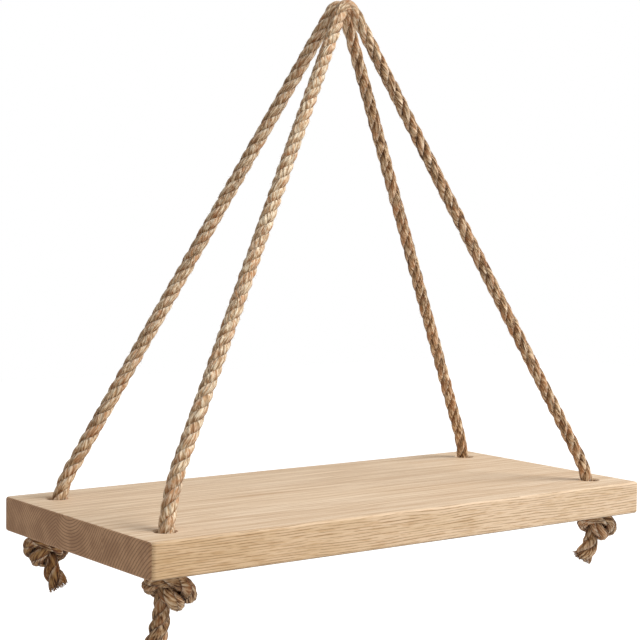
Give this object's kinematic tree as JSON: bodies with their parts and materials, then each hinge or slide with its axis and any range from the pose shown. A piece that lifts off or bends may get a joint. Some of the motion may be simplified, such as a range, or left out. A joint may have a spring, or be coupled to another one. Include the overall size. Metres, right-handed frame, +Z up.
{
  "type": "hanging rope shelf",
  "caption": "Oak board shelf hung from one point by two jute ropes that run through its corners and are knotted underneath.",
  "frame": {"origin": "middle of the hook that both ropes lie over, level with the rope's bend over it", "axes": "+X along the board to its right end as seen from the front, +Y towards the board's back edge, +Z up"},
  "size_m": [0.45, 0.205, 0.4542],
  "materials": {
    "oak": "satin",
    "jute": "matte"
  },
  "bodies": {
    "bights": {"front_rope_bight": "jute", "back_rope_bight": "jute"},
    "upper_necks": {"front_left_upper_neck": "jute", "front_right_upper_neck": "jute", "back_left_upper_neck": "jute", "back_right_upper_neck": "jute"},
    "lower_necks": {"front_left_lower_neck": "jute", "front_right_lower_neck": "jute", "back_left_lower_neck": "jute", "back_right_lower_neck": "jute"},
    "shelf": {"front_stave": "oak", "middle_stave": "oak", "back_stave": "oak", "front_left_leg": "jute", "front_left_knot": "jute", "front_left_tail": "jute", "front_right_leg": "jute", "front_right_knot": "jute", "front_right_tail": "jute", "back_left_leg": "jute", "back_left_knot": "jute", "back_left_tail": "jute", "back_right_leg": "jute", "back_right_knot": "jute", "back_right_tail": "jute"}
  },
  "joints": [
    {"name": "side_swing", "type": "hinge", "parent": "bights", "child": "upper_necks", "pos_m": [0, 0, 0], "axis": [0, 1, 0], "range_deg": [-25, 25], "deforming": ["front_rope_bight", "back_rope_bight"]},
    {"name": "fore_aft_swing", "type": "hinge", "parent": "upper_necks", "child": "lower_necks", "pos_m": [0, 0, -0.012], "axis": [1, 0, 0], "range_deg": [-20, 20], "deforming": ["front_left_upper_neck", "front_right_upper_neck", "back_left_upper_neck", "back_right_upper_neck"]},
    {"name": "twist", "type": "hinge", "parent": "lower_necks", "child": "shelf", "pos_m": [0, 0, -0.03], "axis": [0, 0, 1], "range_deg": [-20, 20], "stiffness_Nm_per_rad": 0.1, "deforming": ["front_left_lower_neck", "front_right_lower_neck", "back_left_lower_neck", "back_right_lower_neck"]}
  ]
}
